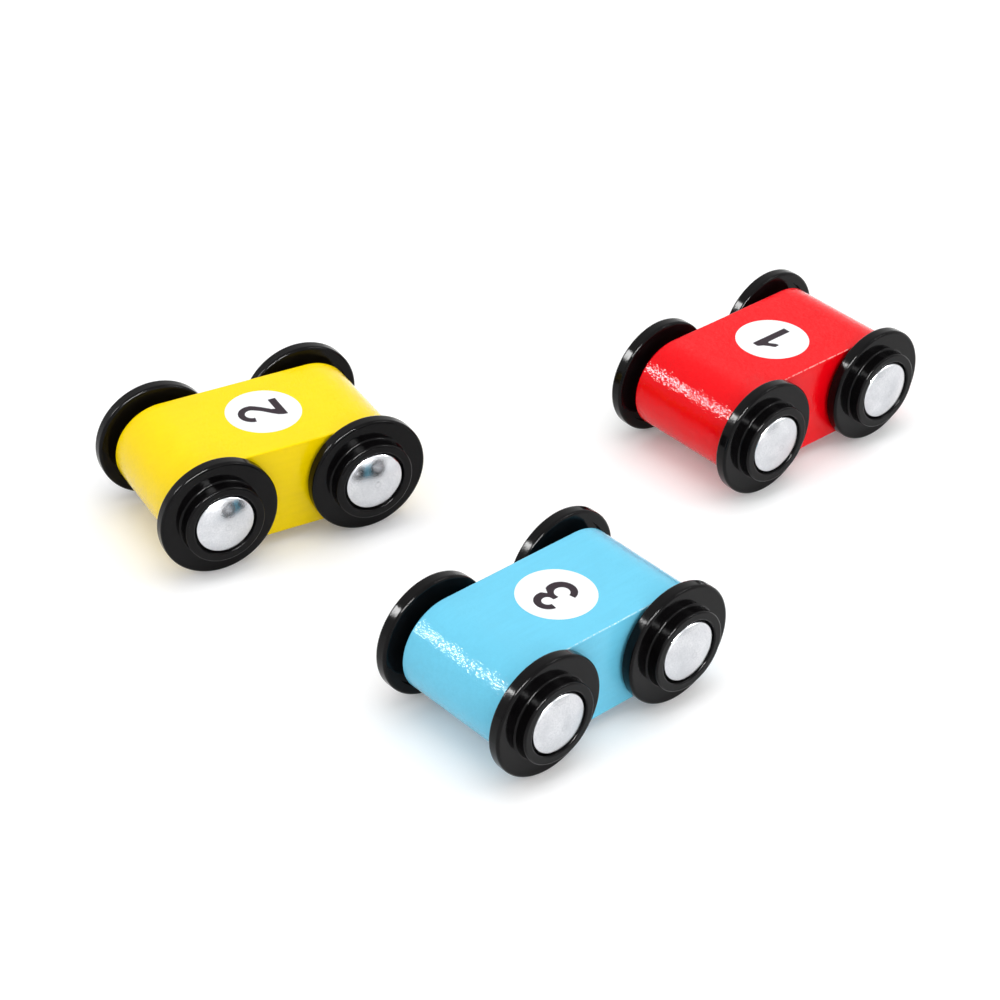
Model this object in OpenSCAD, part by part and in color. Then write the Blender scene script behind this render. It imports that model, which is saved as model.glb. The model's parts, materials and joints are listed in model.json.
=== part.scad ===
// Three wooden race cars for a click clack track, standing on the floor as a set.
// A car is the same above and below its axles, so it can tumble and run on either face.
// +Z is up and the floor is z = 0. The origin lies below the middle of the set's box.
// In a car's own frame +X is its nose and +Y its left side.

/* [Body] */
// Width of the wooden block across the car
body_w = 31; // [24:0.5:38]
// Thickness of the block between its two flat faces
body_h = 24; // [16:0.5:28]
// Radius that rounds the edges of the block's two sides
body_edge_r = 0.4; // [0.2:0.1:2]
// Distance between the two axles
wheelbase = 39; // [32:0.5:50]

/* [Axle] */
// Diameter of the steel axle
axle_d = 4; // [3:0.1:5]
// Chamfer on both ends of the axle
axle_chamfer = 0.4; // [0.1:0.1:0.8]
// Radial gap between the axle and its hole in the block
block_bore_gap = 0.09; // [0.03:0.01:0.1]
// Radial gap between the axle and the wheel that turns on it
wheel_bore_gap = 0.07; // [0.03:0.01:0.1]
// Side play of an axle with its wheels, each way from the middle
end_play = 1.1; // [0.5:0.1:2]
// Share of that play by which the axles rest to the right of the block's middle
rest_share = 0.8; // [-0.8:0.1:0.8]

/* [Wheel] */
// Diameter of the wheel over its tread
wheel_d = 30; // [29:0.5:35]
// Thickness of the flange that carries the tread
flange_t = 3.2; // [2.4:0.1:4]
// Radius on both edges of the tread
tread_edge_r = 0.7; // [0.4:0.1:1.2]
// Height of the boss that faces the block
boss_h = 0.5; // [0.3:0.1:1.5]
// Diameter of that boss
boss_d = 10; // [7:0.5:14]
// Depth of the ring shaped hollow in the wheel's inner face
hollow_depth = 0.8; // [0.3:0.1:1.2]
// Width of the rim around that hollow
rim_w = 2.4; // [1.6:0.1:3]
// Height of the collar above the flange
collar_h = 3.2; // [2.4:0.1:5]
// Wall of the collar around the cap
collar_wall = 2.2; // [1.4:0.1:3]
// Radius on the outer edge of the collar
collar_edge_r = 0.5; // [0.3:0.1:0.9]
// Radius on the inner edge of the collar
collar_lip_r = 0.4; // [0.1:0.1:0.5]
// Fillet between the collar and the flange
collar_fillet_r = 0.5; // [0.1:0.1:0.6]

/* [Cap] */
// Diameter of the pressed steel cap
cap_d = 15; // [13:0.1:18]
// Thickness of its sheet
cap_t = 0.5; // [0.3:0.05:0.6]
// Height of the skirt, from the folded rim to the widest point of the shoulder
cap_skirt_h = 2.1; // [1.8:0.1:2.8]
// Rise of the dome above that point
cap_rise = 2.3; // [1.6:0.1:4]
// Radius of the shoulder between the skirt and the dome
cap_shoulder_r = 0.8; // [0.7:0.05:1.2]
// Width of the rim that is folded in under the lock washer
cap_fold_w = 1.4; // [1.1:0.1:2.5]
// Gap around the cap in the collar
cap_side_gap = 0.4; // [0.2:0.1:1.5]
// Gap between the cap and the floor of the collar
cap_floor_gap = 0.3; // [0.1:0.05:0.6]
// Depth of the cap's widest point below the top of the collar
cap_sunk = 0.8; // [0:0.1:1.2]

/* [Lock washer] */
// Thickness of the spring steel
washer_t = 0.4; // [0.2:0.05:0.5]
// Gap around the washer in the cap
washer_gap = 0.05; // [0.02:0.01:0.2]
// Number of teeth that grip the axle
tooth_count = 6; // [4:1:8]
// Width of the slot between two teeth
tooth_slot_w = 0.8; // [0.4:0.1:1.1]
// Length of the teeth along the radius
tooth_len = 2.2; // [1.2:0.1:2.8]
// Height of the tips above the flat ring of the washer
tooth_rise = 0.8; // [0.3:0.1:1.2]
// Length of axle that stands out past the tips
axle_stub = 0.8; // [0.5:0.1:1.4]

/* [Places of the cars] */
// Direction of the blue car's nose, in degrees from +X
blue_heading = 222.5; // [180:0.5:270]
// How far the yellow car stands to the right of the blue one
yellow_right = -71.2; // [-140:0.1:-66]
// How far the yellow car stands behind the blue one
yellow_behind = 69.9; // [60:0.1:140]
// Direction of the yellow car's nose, in degrees from +X
yellow_heading = 209.7; // [180:0.1:240]
// How far the red car stands to the right of the blue one
red_right = 53.9; // [30:0.1:120]
// How far the red car stands behind the blue one
red_behind = 110.2; // [100:0.1:160]
// Direction of the red car's nose, in degrees from +X
red_heading = 221.8; // [190:0.1:270]

/* [Hidden] */
CARS = ["yellow", "blue", "red"];
ENDS = ["front", "rear"];
SIDES = ["left", "right"];
PIECES = ["wheel", "cap", "lock_washer"];
// +1 toward the nose or the left side, -1 toward the tail or the right side
WAY = [1, -1];

paints = [[1, 0.9, 0], [0.45, 0.82, 0.95], [0.9, 0.1, 0.12]];
plastic = [0.1, 0.1, 0.11];
zinc = [0.83, 0.84, 0.86];
steel = [0.6, 0.61, 0.63];
spring_steel = [0.35, 0.36, 0.4];

// Pieces a cut runs past the material it goes through
overrun = 1;

// Heights along a wheel's axis, counted outward from the boss that faces the block
flange_in = boss_h;
flange_out = flange_in + flange_t;
collar_top = flange_out + collar_h;
recess_floor = collar_top - cap_sunk - cap_skirt_h - cap_floor_gap;

// Radii of the wheel
tread_r = wheel_d / 2;
recess_r = cap_d / 2 + cap_side_gap;
collar_r = recess_r + collar_wall;
hollow_r = tread_r - rim_w;

// The dome is the arc through its top that also touches the shoulder
shoulder_x = cap_d / 2 - cap_shoulder_r;
dome_r = (pow(cap_rise, 2) + pow(shoulder_x, 2) - pow(cap_shoulder_r, 2))
    / (2 * (cap_rise - cap_shoulder_r));
dome_y = cap_skirt_h + cap_rise - dome_r;

// Places along the axle, counted from the middle between its wheels
wheel_seat = body_w / 2 + end_play;
cap_seat = wheel_seat + recess_floor + cap_floor_gap;
washer_seat = cap_seat + cap_t;
axle_end = washer_seat + washer_t + tooth_rise + axle_stub;
axle_shift = end_play * rest_share;

// Where each car stands, counted from the blue one, and where its nose points
places = [
    [yellow_right, yellow_behind, yellow_heading],
    [0, 0, blue_heading],
    [red_right, red_behind, red_heading],
];

// How far a car reaches in one direction from its middle: over a rounded edge of the wheel, or
// over the cap, where the direction touches either the dome or the shoulder
function edge_reach(along, across, radius, height, edge_r) =
    along * (wheelbase / 2 + radius - edge_r) + across * (wheel_seat + height - edge_r) + edge_r;
function cap_reach(along, across) =
    along * wheelbase / 2 + across * cap_seat
    + (along * (dome_r - cap_shoulder_r) < shoulder_x
        ? across * dome_y + dome_r
        : along * shoulder_x + across * cap_skirt_h + cap_shoulder_r);
function reach(heading, toward) =
    let (along = abs(cos(toward - heading)), across = abs(sin(toward - heading)))
    max(
        edge_reach(along, across, tread_r, flange_out, tread_edge_r),
        edge_reach(along, across, collar_r, collar_top, collar_edge_r),
        cap_reach(along, across)
    ) - sin(toward - heading) * axle_shift;

right_end = max([for (p = places) p[0] + reach(p[2], 0)]);
left_end = min([for (p = places) p[0] - reach(p[2], 180)]);
back_end = max([for (p = places) p[1] + reach(p[2], 90)]);
near_end = min([for (p = places) p[1] - reach(p[2], 270)]);
middle = [(left_end + right_end) / 2, (near_end + back_end) / 2];

function axle_node(car, end) = str(CARS[car], "_", ENDS[end], "_axle");
function piece_node(car, end, side, piece) =
    str(CARS[car], "_", ENDS[end], "_", SIDES[side], "_", PIECES[piece]);

$fn = 96;

// What lies between a square corner at the origin and the arc that rounds it
module corner(r) {
    difference() {
        translate([-overrun, -overrun]) square(r + overrun);
        translate([r, r]) circle(r);
    }
}

module at_car(car) {
    translate([places[car][0] - middle[0], places[car][1] - middle[1], tread_r])
        rotate([0, 0, places[car][2]])
            children();
}

// The middle of an axle, with its side play taken up
module at_axle(car, end) {
    at_car(car)
        translate([WAY[end] * wheelbase / 2, -axle_shift, 0])
            children();
}

// Turns +Z outward along the axle and starts at a place on it
module on_axle(car, end, side, place) {
    at_axle(car, end)
        rotate([-90 * WAY[side], 0, 0])
            translate([0, 0, place])
                children();
}

module half_block_outline() {
    difference() {
        translate([0, -body_w / 2]) square([body_h / 2, body_w]);
        for (up = [0, 1])
            mirror([0, up, 0])
                translate([body_h / 2, -body_w / 2])
                    mirror([1, 0, 0])
                        corner(body_edge_r);
    }
}

// A flat block with fully round ends that are centred on the axles
module block() {
    rotate([90, 0, 0])
        for (end = WAY)
            translate([end * wheelbase / 2, 0, 0])
                rotate_extrude()
                    half_block_outline();
    translate([-wheelbase / 2, 0, 0])
        rotate([90, 0, 90])
            linear_extrude(wheelbase)
                rotate([0, 0, 90])
                    union() {
                        half_block_outline();
                        mirror([1, 0, 0]) half_block_outline();
                    }
}

module body(car) {
    color(paints[car])
        at_car(car)
            difference() {
                block();
                for (end = WAY)
                    translate([end * wheelbase / 2, 0, 0])
                        rotate([90, 0, 0])
                            cylinder(r = axle_d / 2 + block_bore_gap, h = body_w + 2 * overrun, center = true);
            }
}

module axle(car, end) {
    color(steel)
        at_axle(car, end)
            rotate([90, 0, 0])
                rotate_extrude()
                    difference() {
                        translate([0, -axle_end]) square([axle_d / 2, 2 * axle_end]);
                        for (up = [0, 1])
                            mirror([0, up, 0])
                                translate([axle_d / 2, -axle_end])
                                    polygon([
                                        [-axle_chamfer, 0],
                                        [-axle_chamfer, -overrun],
                                        [overrun, -overrun],
                                        [overrun, axle_chamfer],
                                        [0, axle_chamfer],
                                    ]);
                    }
}

module wheel_outline() {
    difference() {
        union() {
            square([boss_d / 2, collar_top]);
            translate([0, flange_in]) square([tread_r, flange_t]);
            square([collar_r, collar_top]);
            translate([collar_r, flange_out]) corner(collar_fillet_r);
        }
        translate([tread_r, flange_in]) mirror([1, 0, 0]) corner(tread_edge_r);
        translate([tread_r, flange_out]) rotate([0, 0, 180]) corner(tread_edge_r);
        translate([collar_r, collar_top]) rotate([0, 0, 180]) corner(collar_edge_r);
        translate([recess_r, collar_top]) mirror([0, 1, 0]) corner(collar_lip_r);
        translate([0, recess_floor]) square([recess_r, collar_top]);
        translate([boss_d / 2, -overrun])
            square([hollow_r - boss_d / 2, overrun + boss_h + hollow_depth]);
        translate([0, -overrun])
            square([axle_d / 2 + wheel_bore_gap, collar_top + 2 * overrun]);
    }
}

// A flanged wheel with a stepped collar that shelters the cap
module wheel(car, end, side) {
    color(plastic)
        on_axle(car, end, side, wheel_seat)
            rotate_extrude()
                wheel_outline();
}

// The room inside the cap when inset is the sheet, and the whole cap when inset is 0
module cap_fill(inset) {
    dome_share = (dome_r - inset) / (dome_r - cap_shoulder_r);
    intersection() {
        translate([0, dome_y]) circle(dome_r - inset, $fn = 4 * $fn);
        square([shoulder_x * dome_share, cap_skirt_h + cap_rise + overrun]);
    }
    translate([shoulder_x, cap_skirt_h]) circle(cap_shoulder_r - inset);
    square([cap_d / 2 - inset, cap_skirt_h]);
}

// A domed cap of pressed sheet, its rim folded in below to hold the lock washer
module cap(car, end, side) {
    color(zinc)
        on_axle(car, end, side, cap_seat)
            rotate_extrude()
                difference() {
                    cap_fill(0);
                    intersection() {
                        cap_fill(cap_t);
                        translate([0, cap_t]) square([cap_d, cap_skirt_h + cap_rise]);
                    }
                    translate([0, -overrun]) square([cap_d / 2 - cap_fold_w, cap_t + 2 * overrun]);
                    translate([cap_d / 2, 0]) mirror([1, 0, 0]) corner(cap_t);
                }
}

// A spring washer whose dished teeth let the axle in and bite when it is pulled
module lock_washer(car, end, side) {
    tooth_root = axle_d / 2 + tooth_len;
    washer_r = cap_d / 2 - cap_t - washer_gap;
    color(spring_steel)
        on_axle(car, end, side, washer_seat)
            difference() {
                rotate_extrude()
                    polygon([
                        [axle_d / 2, tooth_rise],
                        [tooth_root, 0],
                        [washer_r, 0],
                        [washer_r, washer_t],
                        [tooth_root, washer_t],
                        [axle_d / 2, tooth_rise + washer_t],
                    ]);
                for (i = [1:tooth_count])
                    rotate([0, 0, i * 360 / tooth_count])
                        translate([0, -tooth_slot_w / 2, -overrun])
                            cube([tooth_root, tooth_slot_w, tooth_rise + washer_t + 2 * overrun]);
            }
}

for (car = [0:2]) {
    body(car);
    for (end = [0, 1]) {
        axle(car, end);
        for (side = [0, 1]) {
            wheel(car, end, side);
            cap(car, end, side);
            lock_washer(car, end, side);
        }
    }
}
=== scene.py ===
import json
import math

import bpy
from mathutils import Matrix, Vector


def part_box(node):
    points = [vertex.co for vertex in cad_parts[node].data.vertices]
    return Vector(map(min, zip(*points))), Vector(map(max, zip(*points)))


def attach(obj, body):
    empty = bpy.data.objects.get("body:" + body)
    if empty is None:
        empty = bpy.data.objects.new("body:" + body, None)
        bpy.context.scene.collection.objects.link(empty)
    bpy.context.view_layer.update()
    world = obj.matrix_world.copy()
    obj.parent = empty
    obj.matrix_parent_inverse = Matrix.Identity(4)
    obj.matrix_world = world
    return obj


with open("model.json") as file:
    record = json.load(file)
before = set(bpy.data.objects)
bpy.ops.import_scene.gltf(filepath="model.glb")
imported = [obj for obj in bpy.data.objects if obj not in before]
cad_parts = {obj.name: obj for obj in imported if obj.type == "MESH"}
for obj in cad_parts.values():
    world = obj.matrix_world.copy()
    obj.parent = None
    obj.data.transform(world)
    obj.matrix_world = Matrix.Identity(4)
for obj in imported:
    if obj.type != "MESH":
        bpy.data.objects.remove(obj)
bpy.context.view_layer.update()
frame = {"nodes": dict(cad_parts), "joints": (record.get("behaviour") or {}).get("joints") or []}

MM = 0.001

# Cars: paint, printed number, the roundel's centre from the block's centre toward the nose and the left
# in mm, and how strong the pale line painted on the rims of the block's sides is, from 0 to 1: a painted
# highlight of the rounded rim, in part worn paint
CARS = {
    "yellow": ((255, 220, 0), "2", (-1.28, -0.72), 0.0),
    "blue": ((111, 204, 235), "3", (-0.28, -0.60), 0.4),
    "red": ((240, 4, 18), "1", (-0.32, 0.12), 0.4),
}

# The radius of the blocks' rounded rims, in mm, and the pale line painted on a rim, which is a painted
# highlight of the rounded rim and in part worn paint, in rims: how far its edge and its middle lie from the
# corner that the rim rounds off, across and up taken together, and how far past the axles it fades out
RIM = 0.4
RIM_HIGHLIGHT_EDGE = 0.75
RIM_HIGHLIGHT_MIDDLE = 0.62
RIM_HIGHLIGHT_FADE = 4

# Camera: focal length in pixels of the 1000 pixel frame, distance in mm, angles in degrees, the point that
# it looks at, on the floor, from the blue block's centre in mm, and how near and far it sees, in metres
PHOTO_SIZE = 1000
SENSOR_WIDTH = 36.0
FOCAL_PIXELS = 2878
CAMERA_DISTANCE = 709.67
CAMERA_ELEVATION = 34.72
CAMERA_ROLL = 1.46
LOOK_AT = (-13.12, 75.375)
NEAREST = 0.01
FARTHEST = 20

# Print on the blocks, in mm: each layer sinks a little into what it lies on
ROUNDEL_RADIUS = 9.28
PRINT_THICKNESS = 0.05
PRINT_SOFT_EDGE = 0.02
PRINT_SINK = 0.01

# How round the print is: steps across its soft edge, degrees from point to point of an arc, and the first
# and last point of a closed circle in degrees
PRINT_EDGE_STEPS = 2
ARC_STEP = 7
CIRCLE = (0, 357)

# Caps: points closer than this in mm are joined, and edges sharper than this in degrees stay sharp
JOINING_DISTANCE = 0.001
SHARP_ANGLE = 30

# Colours as they look in even light, and how dark the dark spots of paint and ink are, as a share
# The pale colour painted on the blocks' rims: a painted highlight, in part worn paint
RIM_HIGHLIGHT_COLOUR = (250, 244, 238)
PRINT_WHITE = (246, 248, 250)
PRINT_CHARCOAL = (54, 44, 51)
PLASTIC_DARK = (7, 6, 7)
PLASTIC_LIGHT = (13, 12, 13)
ZINC_DARK = (194, 196, 200)
ZINC_LIGHT = (215, 216, 219)
ZINC_PRESSED = (182, 184, 188)
STEEL_DARK = (150, 152, 156)
STEEL_LIGHT = (186, 188, 190)
SPRING_DARK = (92, 94, 100)
SPRING_LIGHT = (128, 130, 136)
FLOOR_COLOUR = (246, 246, 246)
FLOOR_BOUNCE = (226, 226, 226)
DARK_SPOT_SHARE = 0.95

# Noise: the middle of its range, that of two multiplied and that of the painted highlight on the rims,
# and how fine its detail is
NOISE_RANGE = (0.3, 0.7)
PRODUCT_RANGE = (0.12, 0.4)
RIM_HIGHLIGHT_RANGE = (0.4, 0.6)
PLAIN_DETAIL = 2.0
FINE_DETAIL = 3.0
FINEST_DETAIL = 4.0

# Unevenness of the surfaces: the size of its features and how high they stand, in metres. A stretch is a
# scale, which draws the features out where it is under 1, and a tilt is how far a patch can lean.
COAT_SIZE = 0.014
GRAIN_SIZE, GRAIN_HEIGHT, GRAIN_STRETCH = 0.0011, 0.00002, 0.12
PEEL_SIZE, PEEL_STRETCH, PEEL_TILT = 0.00018, 0.4, 0.16
# The size of the dashes that the painted highlight on the rims breaks into
RIM_HIGHLIGHT_DASH_SIZE = 0.0006
MOULD_SIZE, MOULD_HEIGHT = 0.0005, 0.00001
CLOUD_SIZE = 0.004
ZINC_SIZE, ZINC_HEIGHT = 0.0004, 0.00002
PUNCH_RADIUS, PUNCH_WIDTH, PUNCH_HEIGHT = 0.0007, 0.0003, 0.00003
PUNCH_SHADE_SHARE = 0.5
STEEL_SIZE, STEEL_HEIGHT = 0.0004, 0.000004
FILM_SIZE = 0.0018
INK_SIZE, INK_HEIGHT = 0.0007, 0.000005

# How rough the surfaces are, from the smoothest to the roughest spots
PAINT_ROUGHNESS = (0.05, 0.09)
PLASTIC_ROUGHNESS = (0.08, 0.14)
ZINC_ROUGHNESS = (0.14, 0.24)
STEEL_ROUGHNESS = (0.25, 0.40)
INK_ROUGHNESS = (0.30, 0.42)

# How strongly the surfaces mirror the studio, where 0.5 is plain enamel
PAINT_GLOSS = 0.15
PLASTIC_GLOSS = 0.12
INK_GLOSS = 0.1

# Light from all round, and what the floor adds to its lit colour where it is shown, where 1 is white
WORLD_LEVEL = 0.75
FLOOR_GLOW = 0.12

# Half the width of the floor, in metres: the lamps keep it white that far, and past it the world is white
FLOOR_REACH = 1.0

# Lamps: direction from the middle of the set, distance, width and height in metres, level where 1 is white,
# and whether the lamp shows as a highlight or lights the colours
LAMPS = {
    "left_key": ((-0.847, 0.017, 0.532), 1.4, 0.42, 0.34, 3.5, False),
    "right_key": ((0.816, -0.03, 0.579), 1.4, 0.42, 0.34, 3.5, False),
    "left_key_in_gloss": ((-0.8525, 0.0888, 0.515), 6.0, 0.90, 1.6, 60, True),
    "right_key_in_gloss": ((0.816, -0.03, 0.579), 1.4, 0.42, 0.34, 90, True),
    "front_in_gloss": ((0.12, -0.72, 0.68), 1.4, 0.9, 0.08, 220, True),
    "card_in_gloss": ((0.42, -0.88, 0.2), 1.5, 1.3, 0.6, 0.9, True),
    "side_fill": ((0.38, -0.9, 0.3), 1.8, 1.0, 0.6, 4.3, False),
    "top": ((0.1, 0.1, 1), 1.6, 1.4, 1.4, 1.6, False),
}


def light_of(step):
    """The light of a colour's channel of 0 to 1, by the curve of the sRGB standard."""
    return step / 12.92 if step <= 0.04045 else ((step + 0.055) / 1.055) ** 2.4


def linear(colour, share=1.0):
    """An RGB colour of 0 to 255 as Blender's linear RGBA, darker where share is under 1."""
    return [share * light_of(channel / 255) for channel in colour] + [1.0]


def new_object(name, data):
    """An object with that data, in the scene."""
    thing = bpy.data.objects.new(name, data)
    bpy.context.scene.collection.objects.link(thing)
    return thing


# Node helpers

def new_material(name):
    """A material with its node tree and its Principled shader."""
    material = bpy.data.materials.new(name)
    material.use_nodes = True
    return material, material.node_tree, material.node_tree.nodes["Principled BSDF"]


def add(tree, kind, inputs=(), **settings):
    """A new node. An input is given by its name or number, with a value or another node's output."""
    node = tree.nodes.new("ShaderNode" + kind)
    for key, value in settings.items():
        setattr(node, key, value)
    for key, value in dict(inputs).items():
        if isinstance(value, bpy.types.NodeSocket):
            tree.links.new(value, node.inputs[key])
        else:
            node.inputs[key].default_value = value
    return node


def connect(tree, shader, colour, roughness, normal):
    """Links these outputs to the shader."""
    tree.links.new(colour, shader.inputs["Base Color"])
    tree.links.new(roughness, shader.inputs["Roughness"])
    tree.links.new(normal, shader.inputs["Normal"])


def arithmetic(tree, operation, first, second=0.0):
    """The result of a calculation on one or two values."""
    return add(tree, "Math", {0: first, 1: second}, operation=operation).outputs[0]


def vector_math(tree, operation, first, second=(0, 0, 0), output="Vector"):
    """The result of a calculation on one or two vectors."""
    return add(tree, "VectorMath", {0: first, 1: second}, operation=operation).outputs[output]


def object_coordinates(tree, turn=0.0, stretch=(1, 1, 1)):
    """Coordinates in metres on the object, turned about Z and stretched."""
    coordinates = add(tree, "TexCoord")
    turned = add(tree, "Mapping", {"Vector": coordinates.outputs["Object"], "Rotation": (0, 0, turn)})
    return add(tree, "Mapping", {"Vector": turned.outputs[0], "Scale": stretch}).outputs[0]


def noise(tree, vector, size, detail=PLAIN_DETAIL):
    """Noise with features of about size metres."""
    return add(tree, "TexNoise", {"Vector": vector, "Scale": 1 / size, "Detail": detail}).outputs["Fac"]


def spread(tree, value, low, high, start=NOISE_RANGE[0], end=NOISE_RANGE[1]):
    """The value's range from start to end, spread from low to high."""
    inputs = {"Value": value, "From Min": start, "From Max": end, "To Min": low, "To Max": high}
    return add(tree, "MapRange", inputs).outputs[0]


def ramp(tree, value, dark, light, start=NOISE_RANGE[0], end=NOISE_RANGE[1]):
    """A colour from dark to light, while value goes from start to end."""
    node = add(tree, "ValToRGB", {"Fac": value})
    first, last = node.color_ramp.elements
    first.position, first.color = start, dark
    last.position, last.color = end, light
    return node.outputs["Color"]


def mix(tree, share, first, second):
    """The first colour where share is 0, and the second where it is 1."""
    colour_a, colour_b, result = 6, 7, 2
    inputs = {"Factor": share, colour_a: first, colour_b: second}
    return add(tree, "Mix", inputs, data_type="RGBA").outputs[result]


def bump(tree, height, distance, below=None):
    """A bump of that distance in metres, on top of another bump."""
    inputs = {"Height": height, "Distance": distance, "Strength": 1.0}
    if below is not None:
        inputs["Normal"] = below
    return add(tree, "Bump", inputs).outputs["Normal"]


def tilted(tree, vector, size, tilt):
    """The surface's normal, leaning a little another way on every small patch of that size."""
    patches = add(tree, "TexVoronoi", {"Vector": vector, "Scale": 1 / size}).outputs["Color"]
    middle = (0.5, 0.5, 0.5)
    lean = vector_math(tree, "SUBTRACT", patches, middle)
    lean = add(tree, "VectorMath", {0: lean, "Scale": tilt}, operation="SCALE").outputs[0]
    normal = add(tree, "NewGeometry").outputs["Normal"]
    return vector_math(tree, "NORMALIZE", vector_math(tree, "ADD", normal, lean))


def shown(tree):
    """1 for what the camera, gloss and glass show, and 0 for the light that falls on the object."""
    path = add(tree, "LightPath").outputs
    seen = arithmetic(tree, "MAXIMUM", path["Is Camera Ray"], path["Is Glossy Ray"])
    return arithmetic(tree, "MAXIMUM", seen, path["Is Transmission Ray"])


# What the frame says about the cars

def joint_at(name):
    """The place and the direction of a joint."""
    joint = next(joint for joint in frame["joints"] if joint["name"] == name)
    return Vector(joint["pos_m"]), Vector(joint["axis"])


def car_heading(car):
    """The angle of the car's nose about Z, from the axle's direction toward the left side."""
    left = joint_at(f"{car}_front_axle_spin")[1]
    return math.atan2(-left.x, left.y)


def block_sizes(car):
    """The middle of a car's block, half its wheelbase, half its width and half its height, in metres."""
    block = frame["nodes"][f"{car}_body"]
    middle = sum((Vector(corner) for corner in block.bound_box), Vector()) / len(block.bound_box)
    front, left = joint_at(f"{car}_front_axle_spin")
    rear = joint_at(f"{car}_rear_axle_spin")[0]
    points = [vertex.co - middle for vertex in block.data.vertices]
    half_width = max(abs(point.dot(left)) for point in points)
    half_height = max(abs(point.z) for point in points)
    return middle, (front - rear).length / 2, half_width, half_height


# Materials

def rim_highlight_mask(tree, car, heading):
    """1 on the rounded rims of a block's sides, between the axles, and 0 elsewhere: where a highlight
    is painted, in part worn paint.
    """
    middle, half_wheelbase, half_width, half_height = block_sizes(car)
    place = vector_math(tree, "SUBTRACT", object_coordinates(tree), middle)
    turned = add(tree, "Mapping", {"Vector": place, "Rotation": (0, 0, -heading)})
    along, across, up = add(tree, "SeparateXYZ", {0: turned.outputs[0]}).outputs
    beyond = arithmetic(tree, "SUBTRACT", arithmetic(tree, "ABSOLUTE", along), half_wheelbase)
    both = arithmetic(tree, "ADD", arithmetic(tree, "ABSOLUTE", across), arithmetic(tree, "ABSOLUTE", up))
    corner = half_width + half_height
    rim = spread(tree, both, 0.0, 1.0, corner - RIM_HIGHLIGHT_EDGE * RIM * MM, corner - RIM_HIGHLIGHT_MIDDLE * RIM * MM)
    return arithmetic(tree, "MULTIPLY", rim, spread(tree, beyond, 1.0, 0.0, 0.0, RIM_HIGHLIGHT_FADE * RIM * MM))


def painted_wood(car, colour, rim_highlight_share, heading):
    """Glossy enamel on a wooden block: faint grain along the block, an orange peel that breaks up
    highlights, and a pale line painted on the rims as a painted highlight, in part worn paint."""
    material, tree, shader = new_material(f"{car}_enamel_on_wood")
    plain = object_coordinates(tree)
    coat = noise(tree, plain, COAT_SIZE)
    along = object_coordinates(tree, -heading, (GRAIN_STRETCH, 1, 1))
    grain = noise(tree, along, GRAIN_SIZE, FINEST_DETAIL)
    both = arithmetic(tree, "MULTIPLY", coat, grain)
    paint = ramp(tree, both, linear(colour, DARK_SPOT_SHARE), linear(colour), *PRODUCT_RANGE)
    # A pale line painted on the rims, broken into dashes: a painted highlight of the rounded rim, in part
    # worn paint
    patches = spread(tree, noise(tree, plain, RIM_HIGHLIGHT_DASH_SIZE, FINE_DETAIL), 0.0, rim_highlight_share, *RIM_HIGHLIGHT_RANGE)
    painted_rim_highlight = arithmetic(tree, "MULTIPLY", rim_highlight_mask(tree, car, heading), patches)
    across = object_coordinates(tree, -heading, (1, PEEL_STRETCH, 1))
    normal = bump(tree, grain, GRAIN_HEIGHT, tilted(tree, across, PEEL_SIZE, PEEL_TILT))
    shade = mix(tree, painted_rim_highlight, paint, linear(RIM_HIGHLIGHT_COLOUR))
    connect(tree, shader, shade, spread(tree, coat, *PAINT_ROUGHNESS), normal)
    shader.inputs["Specular IOR Level"].default_value = PAINT_GLOSS
    return material


def black_plastic():
    """Glossy moulded plastic: nearly black, faintly cloudy and very finely uneven from the mould."""
    material, tree, shader = new_material("glossy_black_plastic")
    plain = object_coordinates(tree)
    cloud = noise(tree, plain, CLOUD_SIZE, FINE_DETAIL)
    shade = ramp(tree, cloud, linear(PLASTIC_DARK), linear(PLASTIC_LIGHT))
    normal = bump(tree, noise(tree, plain, MOULD_SIZE), MOULD_HEIGHT)
    connect(tree, shader, shade, spread(tree, cloud, *PLASTIC_ROUGHNESS), normal)
    shader.inputs["Specular IOR Level"].default_value = PLASTIC_GLOSS
    return material


def metal(name, dark, light, size, height, roughness):
    """Metal with faint clouds and a fine grain, size metres across, that breaks up its reflections."""
    material, tree, shader = new_material(name)
    plain = object_coordinates(tree)
    cloud = noise(tree, plain, CLOUD_SIZE, FINEST_DETAIL)
    grain = noise(tree, plain, size, FINE_DETAIL)
    both = arithmetic(tree, "MULTIPLY", cloud, grain)
    shade = ramp(tree, both, linear(dark), linear(light), *PRODUCT_RANGE)
    connect(tree, shader, shade, spread(tree, cloud, *roughness), bump(tree, grain, height))
    shader.inputs["Metallic"].default_value = 1.0
    return material, tree, shader


def zinc_plate(axle, place, axis):
    """Bright zinc on the pressed caps of an axle, with the faint ring that a punch left at their middle."""
    zinc = (ZINC_DARK, ZINC_LIGHT, ZINC_SIZE, ZINC_HEIGHT, ZINC_ROUGHNESS)
    material, tree, shader = metal(f"{axle}_zinc", *zinc)
    away = vector_math(tree, "SUBTRACT", object_coordinates(tree), place)
    across = vector_math(tree, "CROSS_PRODUCT", away, axis)
    radius = vector_math(tree, "LENGTH", across, output="Value")
    gap = arithmetic(tree, "ABSOLUTE", arithmetic(tree, "SUBTRACT", radius, PUNCH_RADIUS))
    ring = spread(tree, gap, 1.0, 0.0, 0.0, PUNCH_WIDTH)
    grained = shader.inputs["Normal"].links[0].from_socket
    tree.links.new(bump(tree, ring, PUNCH_HEIGHT, grained), shader.inputs["Normal"])
    plate = shader.inputs["Base Color"].links[0].from_socket
    pressed = arithmetic(tree, "MULTIPLY", ring, PUNCH_SHADE_SHARE)
    tree.links.new(mix(tree, pressed, plate, linear(ZINC_PRESSED)), shader.inputs["Base Color"])
    return material


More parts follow.
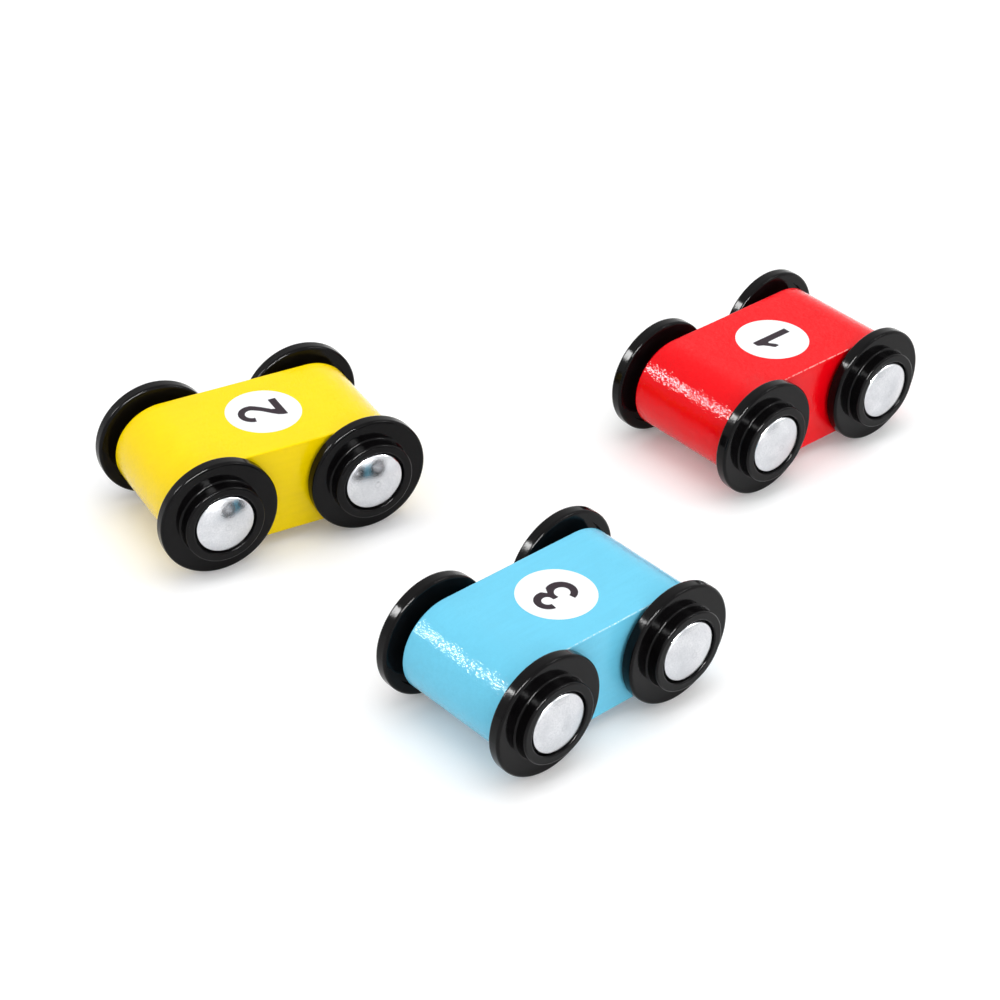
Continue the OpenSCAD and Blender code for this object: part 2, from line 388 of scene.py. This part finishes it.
def ink(name, colour):
    """Screen printed ink with a slightly uneven film."""
    material, tree, shader = new_material(name)
    plain = object_coordinates(tree)
    film = noise(tree, plain, FILM_SIZE, FINE_DETAIL)
    shade = ramp(tree, film, linear(colour, DARK_SPOT_SHARE), linear(colour))
    normal = bump(tree, noise(tree, plain, INK_SIZE), INK_HEIGHT)
    connect(tree, shader, shade, spread(tree, film, *INK_ROUGHNESS), normal)
    shader.inputs["Specular IOR Level"].default_value = INK_GLOSS
    return material


def floor_material():
    """A white floor that keeps the object's shadow, looks white to the camera and in gloss, and sends less
    light back up at the object."""
    material, tree, shader = new_material("white_floor")
    tree.nodes.remove(shader)
    seen = shown(tree)
    shade = ramp(tree, seen, linear(FLOOR_BOUNCE), linear(FLOOR_COLOUR), 0.0, 1.0)
    surface = add(tree, "BsdfDiffuse", {"Color": shade})
    glow = add(tree, "Emission", {"Strength": arithmetic(tree, "MULTIPLY", seen, FLOOR_GLOW)})
    both = add(tree, "AddShader", {0: surface.outputs[0], 1: glow.outputs[0]})
    tree.links.new(both.outputs[0], tree.nodes["Material Output"].inputs["Surface"])
    return material


# Print: outlines in mm, drawn upright round the roundel's centre

def arc(x, y, radius, start, end):
    """Points on an arc round x, y from one angle to another, in degrees."""
    count = max(2, round(abs(end - start) / ARC_STEP))
    angles = [math.radians(start + (end - start) * i / count) for i in range(count + 1)]
    return [(x + radius * math.cos(a), y + radius * math.sin(a)) for a in angles]


def digit_one():
    """The stem's foot, the flag at its left and the head."""
    foot = [(1.78, -6.0), (-0.27, -6.0), (-0.27, 1.28)]
    flag = [(-0.47, 1.95), (-0.85, 1.95), (-2.2, 0.9), (-2.85, 0.7), (-3.15, 0.95), (-3.15, 2.1)]
    head = [(-2.9, 2.35), (-1.97, 2.85), (-0.72, 3.9), (-0.1, 5.0), (0.2, 5.2), (1.5, 5.2), (1.78, 4.95)]
    return foot + flag + head


def digit_two():
    """The bow's outside, the neck's lower side, the foot, the neck's upper side and the bow's inside."""
    outside = arc(0.08, 2.8, 3.55, 172, -15)
    lower_side = [(2.96, 1.03), (1.96, -0.2), (0.84, -1.34), (0.08, -2.1), (-0.3, -3.04)]
    foot = [(4.16, -3.04), (4.16, -4.97), (-3.47, -4.97)]
    upper_side = [(-3.3, -3.84), (-2.79, -2.7), (-1.79, -1.6), (0.2, 0.28), (0.96, 1.28)]
    inside = arc(0.03, 2.95, 1.75, -20, 180)
    return outside + lower_side + foot + upper_side + inside


def digit_three():
    """The outside of both bows from the top down, and their inside back up, past the bar between them."""
    outside = arc(-0.55, 3.0, 3.28, 171, -14) + [(1.5, 1.3)] + arc(-0.1, -1.4, 3.7, 28, -168)
    bar = [(-1.12, 0.42), (-1.12, 1.8), (-0.75, 1.85)]
    inside = arc(-0.35, -1.4, 1.85, -166, 105) + bar + arc(-0.65, 3.2, 1.4, -65, 176)
    return outside + inside


DIGITS = {"1": digit_one, "2": digit_two, "3": digit_three}


def printed(name, outline, car, middle, heading, level, material):
    """A thin layer of ink with a soft rim, lying on the block's top."""
    curve = bpy.data.curves.new(name, "CURVE")
    curve.dimensions, curve.fill_mode = "2D", "BOTH"
    curve.extrude = PRINT_THICKNESS / 2 * MM - PRINT_SOFT_EDGE * MM / 2
    curve.bevel_depth, curve.offset = PRINT_SOFT_EDGE * MM, -PRINT_SOFT_EDGE * MM
    curve.bevel_resolution = PRINT_EDGE_STEPS
    spline = curve.splines.new("POLY")
    spline.points.add(len(outline) - 1)
    for point, (x, y) in zip(spline.points, outline):
        point.co = (x * MM, y * MM, 0, 1)
    spline.use_cyclic_u = True
    curve.materials.append(material)
    piece = new_object(name, curve)
    piece.location = (middle.x, middle.y, level)
    piece.rotation_euler = (0, 0, heading - math.pi / 2)
    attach(piece, f"{car}_car")


def print_number(car, digit, offset, heading, white, charcoal):
    """The roundel and the number on the top of a car."""
    low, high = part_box(f"{car}_body")
    nose = Vector((math.cos(heading), math.sin(heading), 0))
    left = Vector((-nose.y, nose.x, 0))
    middle = (low + high) / 2 + (nose * offset[0] + left * offset[1]) * MM
    layer = PRINT_THICKNESS * MM
    ground = high.z + layer / 2 - PRINT_SINK * MM
    level = ground + layer - PRINT_SINK * MM
    printed(f"{car}_roundel", arc(0, 0, ROUNDEL_RADIUS, *CIRCLE), car, middle, heading, ground, white)
    printed(f"{car}_number", DIGITS[digit](), car, middle, heading, level, charcoal)


# Cars

def dress(node, material):
    """Gives a CAD node its material."""
    mesh_object = frame["nodes"][node]
    mesh_object.data.materials.clear()
    mesh_object.data.materials.append(material)
    return mesh_object


def even_shading(mesh_object):
    """Shades the middle of a dome evenly, where its narrow faces meet."""
    mesh_object.modifiers.new("joined_points", "WELD").merge_threshold = JOINING_DISTANCE * MM
    mesh_object.modifiers.new("sharp_edges", "EDGE_SPLIT").split_angle = math.radians(SHARP_ANGLE)
    mesh_object.modifiers.new("even_shading", "WEIGHTED_NORMAL").keep_sharp = True


def dress_axle(car, end, plastic, steel, spring):
    """Materials for an axle, its wheels, caps and lock washers."""
    axle = f"{car}_{end}_axle"
    zinc = zinc_plate(axle, *joint_at(f"{axle}_spin"))
    dress(axle, steel)
    for side in ("left", "right"):
        stem = f"{car}_{end}_{side}"
        dress(f"{stem}_wheel", plastic)
        even_shading(dress(f"{stem}_cap", zinc))
        dress(f"{stem}_lock_washer", spring)


def make_cars():
    """Materials and print for every car."""
    plastic = black_plastic()
    steel = metal("drawn_steel", STEEL_DARK, STEEL_LIGHT, STEEL_SIZE, STEEL_HEIGHT, STEEL_ROUGHNESS)[0]
    spring = metal("spring_steel", SPRING_DARK, SPRING_LIGHT, STEEL_SIZE, STEEL_HEIGHT, STEEL_ROUGHNESS)[0]
    white = ink("white_ink", PRINT_WHITE)
    charcoal = ink("charcoal_ink", PRINT_CHARCOAL)
    for car, (colour, digit, offset, rim_highlight_share) in CARS.items():
        heading = car_heading(car)
        dress(f"{car}_body", painted_wood(car, colour, rim_highlight_share, heading))
        for end in ("front", "rear"):
            dress_axle(car, end, plastic, steel, spring)
        print_number(car, digit, offset, heading, white, charcoal)


# Stage

def softbox(name, direction, distance, width, height, level, gloss):
    """A rectangular lamp in that direction from the middle, turned to it."""
    lamp = bpy.data.lights.new(name, "AREA")
    lamp.shape, lamp.size, lamp.size_y = "RECTANGLE", width, height
    lamp.energy = level * math.pi * width * height
    holder = new_object(name, lamp)
    holder.location = Vector(direction).normalized() * distance
    holder.rotation_euler = (-holder.location).to_track_quat("-Z", "Y").to_euler()
    holder.visible_diffuse = not gloss
    holder.visible_glossy = gloss


def lay_floor():
    """A square floor under the set."""
    reach = FLOOR_REACH
    corners = [(-reach, -reach, 0), (reach, -reach, 0), (reach, reach, 0), (-reach, reach, 0)]
    mesh = bpy.data.meshes.new("floor")
    mesh.from_pydata(corners, [], [(0, 1, 2, 3)])
    mesh.materials.append(floor_material())
    floor = new_object("floor", mesh)


def light_world():
    """Even light from all round, and white where the camera, gloss or glass shows it past the floor."""
    world = bpy.data.worlds.new("studio")
    world.use_nodes = True
    tree = world.node_tree
    background = tree.nodes["Background"]
    tree.links.new(arithmetic(tree, "MAXIMUM", shown(tree), WORLD_LEVEL), background.inputs["Strength"])
    background.inputs["Color"].default_value = (1, 1, 1, 1)
    bpy.context.scene.world = world


def place_camera():
    """The photo's camera, which looks toward Y and down at the floor, and leans by its roll."""
    low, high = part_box("blue_body")
    block = (low + high) / 2
    target = Vector((block.x + LOOK_AT[0] * MM, block.y + LOOK_AT[1] * MM, 0))
    up_angle, roll = math.radians(CAMERA_ELEVATION), math.radians(CAMERA_ROLL)
    back = Vector((0, -math.cos(up_angle), math.sin(up_angle)))
    level_right = Vector((1, 0, 0))
    level_up = back.cross(level_right)
    right = math.cos(roll) * level_right + math.sin(roll) * level_up
    up = math.cos(roll) * level_up - math.sin(roll) * level_right
    lens = bpy.data.cameras.new("camera")
    lens.sensor_width, lens.lens = SENSOR_WIDTH, SENSOR_WIDTH * FOCAL_PIXELS / PHOTO_SIZE
    lens.clip_start, lens.clip_end = NEAREST, FARTHEST
    camera = new_object("camera", lens)
    turn = Matrix((right, up, back)).transposed().to_4x4()
    camera.matrix_world = Matrix.Translation(target + back * CAMERA_DISTANCE * MM) @ turn
    bpy.context.scene.camera = camera


def main():
    """Dresses the cars and sets the stage round them."""
    bpy.context.scene.view_settings.view_transform = "Standard"
    make_cars()
    lay_floor()
    light_world()
    for name, lamp in LAMPS.items():
        softbox(name, *lamp)
    place_camera()


main()
